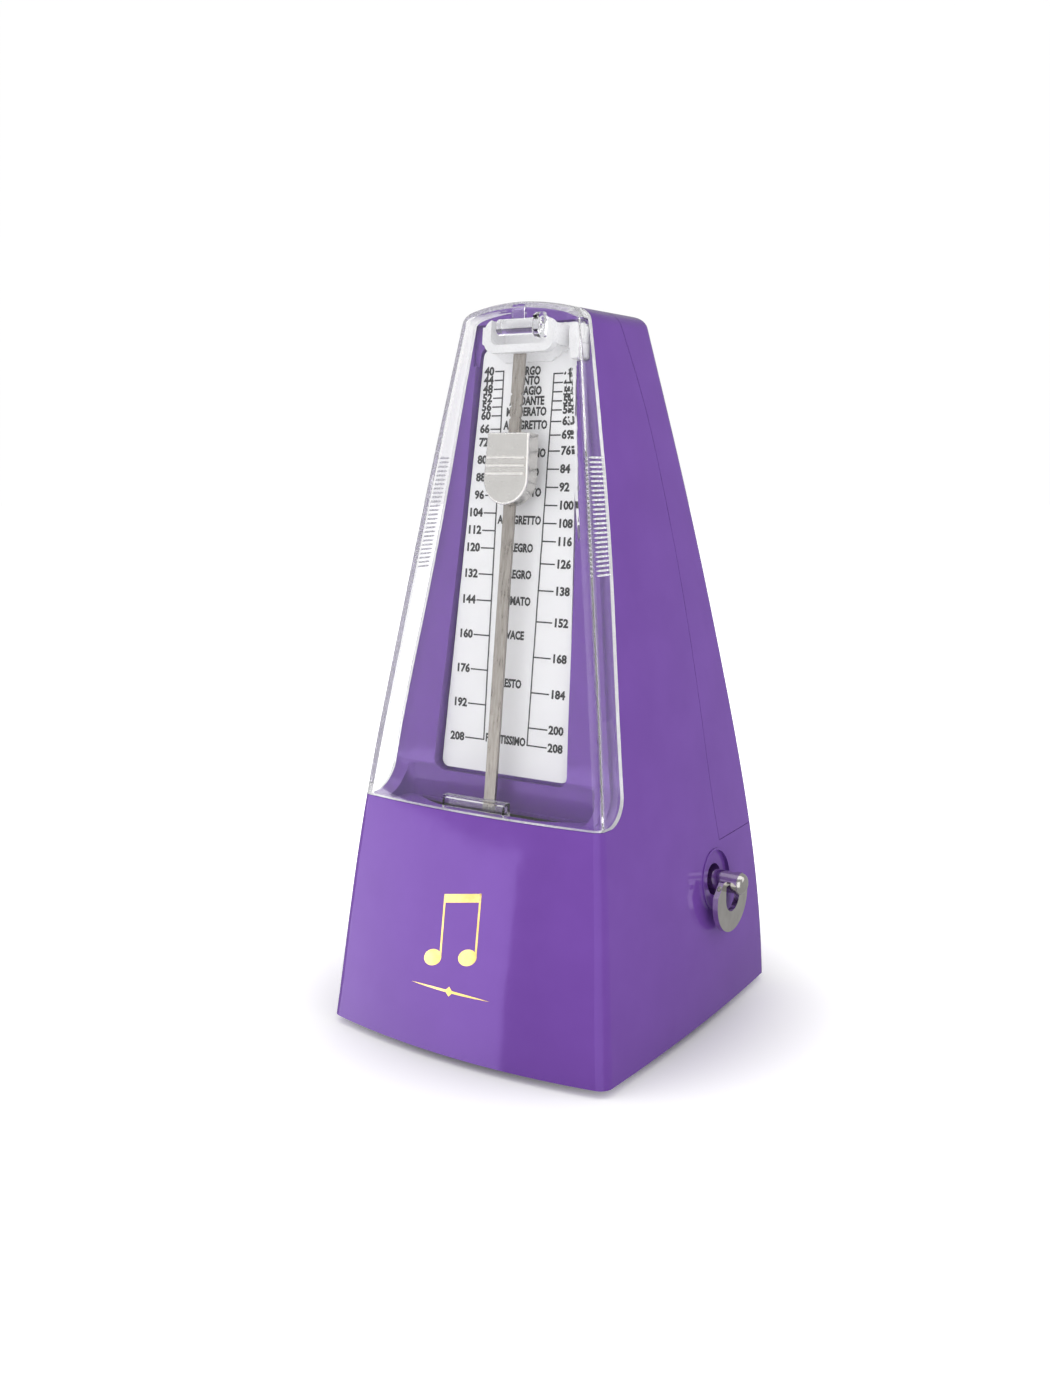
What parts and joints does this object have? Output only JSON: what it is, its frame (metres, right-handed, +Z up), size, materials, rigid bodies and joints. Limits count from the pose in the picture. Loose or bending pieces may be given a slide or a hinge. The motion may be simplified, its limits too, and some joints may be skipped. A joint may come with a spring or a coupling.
{
  "type": "metronome",
  "caption": "Pyramid-shaped wind-up metronome: plastic case, clear lift-off cover, printed dial, pendulum with sliding weight, side winding key and gear train.",
  "frame": {"origin": "centre of the base, on the surface that the metronome stands on", "axes": "+Z up; -Y is the front, where the dial faces; +X is the side with the winding key"},
  "size_m": [0.1133, 0.1181, 0.2269],
  "materials": {
    "case_purple": "moulded, high gloss",
    "cover_clear": "clear moulded polystyrene",
    "dial_white": "semi-gloss, black print",
    "catch_white": "gloss",
    "base_black": "fine texture",
    "foot_rubber": "matt",
    "screw_steel": "zinc plated",
    "rod_steel": "rolled strip, satin",
    "weight_nickel": "satin nickel plate",
    "bob_iron": "turned, dull",
    "key_nickel": "bright nickel plate",
    "arbor_steel": "turned",
    "spring_steel": "blued spring steel",
    "brass": "stamped brass",
    "frame_steel": "zinc plated sheet"
  },
  "bodies": {
    "case": {"main_case": "case_purple", "rear_cover": "case_purple", "base_plate": "base_black", "foot_ring": "foot_rubber", "base_screws": "screw_steel", "frame_screws": "screw_steel", "rear_cover_screws": "screw_steel", "dial_plate": "dial_white", "top_catch": "catch_white", "click_screw": "screw_steel", "click_spring": "spring_steel", "click_spring_screw": "screw_steel", "plate_bushes": "brass", "verge_bushes": "brass", "left_plate": "frame_steel", "right_plate": "frame_steel", "plate_pillars": "arbor_steel", "pillar_screws": "screw_steel", "front_cock": "frame_steel", "rear_cock": "frame_steel", "escape_cock": "frame_steel", "escape_cock_posts": "arbor_steel", "cock_screws": "screw_steel"},
    "pendulum": {"pendulum_rod": "rod_steel", "pendulum_bob": "bob_iron", "pendulum_hub": "brass", "pendulum_arbor": "arbor_steel", "arbor_nut": "brass", "verge_pallets": "arbor_steel"},
    "weight": {"sliding_weight": "weight_nickel", "weight_spring": "spring_steel"},
    "cover": {"clear_cover": "cover_clear"},
    "barrel": {"great_wheel": "brass", "barrel_drum": "brass", "barrel_cap": "brass", "mainspring": "spring_steel"},
    "winding": {"winding_arbor": "arbor_steel", "ratchet_wheel": "arbor_steel", "key_stem": "key_nickel", "key_pin": "screw_steel"},
    "wing": {"key_wing": "key_nickel"},
    "click": {"click": "arbor_steel"},
    "middle": {"middle_pinion": "arbor_steel", "middle_wheel": "brass"},
    "escape": {"escape_pinion": "arbor_steel", "crown_wheel": "brass"}
  },
  "joints": [
    {"name": "pendulum_swing", "type": "hinge", "parent": "case", "child": "pendulum", "pos_m": [0, -0.03987, 0.06], "axis": [0, -0.9914, 0.1311], "range_deg": [-5, 5]},
    {"name": "weight_slide", "type": "slide", "parent": "pendulum", "child": "weight", "axis": [0, 0.1311, 0.9914], "range_m": [-0.084, 0.018]},
    {"name": "cover_lift_off", "type": "slide", "parent": "case", "child": "cover", "axis": [0, -1, 0], "range_m": [0, 0.13]},
    {"name": "key_wind", "type": "hinge", "parent": "case", "child": "winding", "pos_m": [0.0542, 0.02, 0.045], "axis": [1, 0, 0], "continuous": true},
    {"name": "wing_fold", "type": "hinge", "parent": "winding", "child": "wing", "pos_m": [0.0542, 0.02, 0.045], "axis": [0, -1, 0], "range_deg": [0, 90]},
    {"name": "click_lift", "type": "hinge", "parent": "case", "child": "click", "pos_m": [0.0261, 0.023, 0.0605], "axis": [-1, 0, 0], "range_deg": [0, 9], "stiffness_Nm_per_rad": 0.004, "springref_deg": -2.86},
    {"name": "barrel_turn", "type": "hinge", "parent": "case", "child": "barrel", "pos_m": [0.01, 0.02, 0.045], "axis": [1, 0, 0], "continuous": true},
    {"name": "middle_turn", "type": "hinge", "parent": "case", "child": "middle", "pos_m": [0, -0.00502, 0.04201], "axis": [1, 0, 0], "continuous": true},
    {"name": "escape_turn", "type": "hinge", "parent": "case", "child": "escape", "pos_m": [-0.015, -0.01459, 0.05666], "axis": [1, 0, 0], "continuous": true}
  ],
  "couplings": [
    {"joint": "middle_turn", "follows": "barrel_turn", "ratio": -6},
    {"joint": "escape_turn", "follows": "barrel_turn", "ratio": 36}
  ]
}
